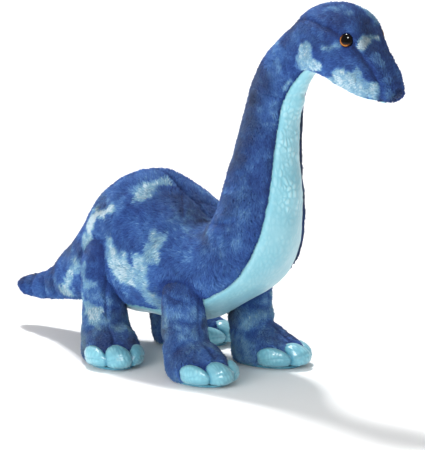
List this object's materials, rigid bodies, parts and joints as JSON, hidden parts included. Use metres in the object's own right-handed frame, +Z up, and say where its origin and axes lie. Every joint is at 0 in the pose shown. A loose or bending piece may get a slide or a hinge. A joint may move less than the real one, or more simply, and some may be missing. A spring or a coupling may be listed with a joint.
{
  "type": "stuffed dinosaur",
  "caption": "Standing plush long-necked dinosaur with pale throat, belly, toes and soles; its neck, head, tail and legs flex at soft joints.",
  "frame": {"origin": "on the floor, under the middle of the toy's bounding box", "axes": "+X towards the nose, +Y towards the animal's left, +Z up"},
  "size_m": [0.524, 0.189, 0.396],
  "materials": {
    "blue_plush": "short dense pile, mottled dark and pale blue",
    "aqua_fabric": "shiny velour embossed with scales",
    "fibre": "loose polyester fibre",
    "bead_pouch": "plain woven bag of beads",
    "eye": "polished, amber iris under a clear dome",
    "washer": "moulded"
  },
  "bodies": {
    "torso": {"body_panel_left": "blue_plush", "body_panel_right": "blue_plush", "belly_panel": "aqua_fabric", "belly_bead_pouch": "bead_pouch", "torso_stuffing": "fibre"},
    "neck": {"neck_panel_left": "blue_plush", "neck_panel_right": "blue_plush", "throat_panel": "aqua_fabric", "neck_stuffing": "fibre"},
    "head": {"face_panel_left": "blue_plush", "face_panel_right": "blue_plush", "crown_panel": "blue_plush", "chin_panel": "aqua_fabric", "head_stuffing": "fibre", "eye_left": "eye", "eye_right": "eye", "eye_washer_left": "washer", "eye_washer_right": "washer"},
    "tail": {"tail_panel_left": "blue_plush", "tail_panel_right": "blue_plush", "tail_stuffing": "fibre"},
    "leg_front_right": {"front_right_leg_outer_panel": "blue_plush", "front_right_leg_inner_panel": "blue_plush", "front_right_toe_panel": "aqua_fabric", "front_right_sole": "aqua_fabric", "front_right_leg_stuffing": "fibre", "front_right_bead_pouch": "bead_pouch"},
    "leg_front_left": {"front_left_leg_outer_panel": "blue_plush", "front_left_leg_inner_panel": "blue_plush", "front_left_toe_panel": "aqua_fabric", "front_left_sole": "aqua_fabric", "front_left_leg_stuffing": "fibre", "front_left_bead_pouch": "bead_pouch"},
    "leg_hind_right": {"hind_right_leg_outer_panel": "blue_plush", "hind_right_leg_inner_panel": "blue_plush", "hind_right_toe_panel": "aqua_fabric", "hind_right_sole": "aqua_fabric", "hind_right_leg_stuffing": "fibre", "hind_right_bead_pouch": "bead_pouch"},
    "leg_hind_left": {"hind_left_leg_outer_panel": "blue_plush", "hind_left_leg_inner_panel": "blue_plush", "hind_left_toe_panel": "aqua_fabric", "hind_left_sole": "aqua_fabric", "hind_left_leg_stuffing": "fibre", "hind_left_bead_pouch": "bead_pouch"}
  },
  "joints": [
    {"name": "neck_bend", "type": "hinge", "parent": "torso", "child": "neck", "pos_m": [0.08, -0.00225, 0.1855], "axis": [0, 1, 0], "range_deg": [-12, 14], "stiffness_Nm_per_rad": 1.6},
    {"name": "head_nod", "type": "hinge", "parent": "neck", "child": "head", "pos_m": [0.1375, -0.00225, 0.343], "axis": [0, 1, 0], "range_deg": [-15, 12], "stiffness_Nm_per_rad": 0.7},
    {"name": "tail_wag", "type": "hinge", "parent": "torso", "child": "tail", "pos_m": [-0.17866, -0.00225, 0.06412], "axis": [0, 0, 1], "range_deg": [-20, 20], "stiffness_Nm_per_rad": 0.4},
    {"name": "front_right_hip", "type": "hinge", "parent": "torso", "child": "leg_front_right", "pos_m": [0.018, -0.04925, 0.088], "axis": [0, 1, 0], "range_deg": [-14, 12], "stiffness_Nm_per_rad": 1.5},
    {"name": "front_left_hip", "type": "hinge", "parent": "torso", "child": "leg_front_left", "pos_m": [0.018, 0.04475, 0.088], "axis": [0, 1, 0], "range_deg": [-14, 12], "stiffness_Nm_per_rad": 1.5},
    {"name": "hind_right_hip", "type": "hinge", "parent": "torso", "child": "leg_hind_right", "pos_m": [-0.093, -0.04925, 0.088], "axis": [0, 1, 0], "range_deg": [-8, 14], "stiffness_Nm_per_rad": 1.5},
    {"name": "hind_left_hip", "type": "hinge", "parent": "torso", "child": "leg_hind_left", "pos_m": [-0.093, 0.04475, 0.088], "axis": [0, 1, 0], "range_deg": [-8, 14], "stiffness_Nm_per_rad": 1.5}
  ]
}
